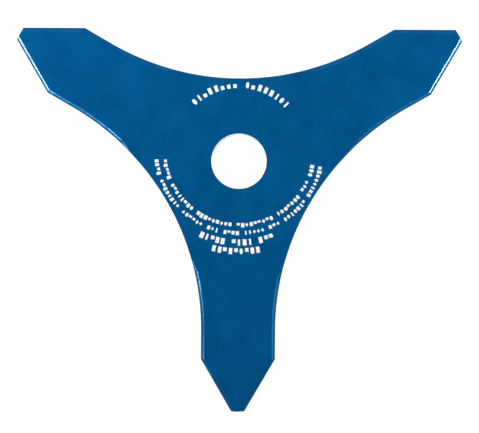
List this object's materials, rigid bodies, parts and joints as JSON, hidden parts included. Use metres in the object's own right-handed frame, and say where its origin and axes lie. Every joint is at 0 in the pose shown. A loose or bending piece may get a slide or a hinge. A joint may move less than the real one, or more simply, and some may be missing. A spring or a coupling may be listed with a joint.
{
  "type": "brush cutter blade",
  "caption": "Flat steel blade for a brush cutter, with bevelled pointed teeth on arms round a plain arbor bore, painted blue.",
  "frame": {"origin": "centre of the arbor bore on the underside, which is the flat face without bevels", "axes": "+Z along the bore axis, out of the ground face; one tooth points along -Y"},
  "size_m": [0.2242, 0.1941, 0.003],
  "materials": {
    "painted_steel": null
  },
  "bodies": {
    "root": {"cutter_blade": "painted_steel"}
  },
  "joints": []
}
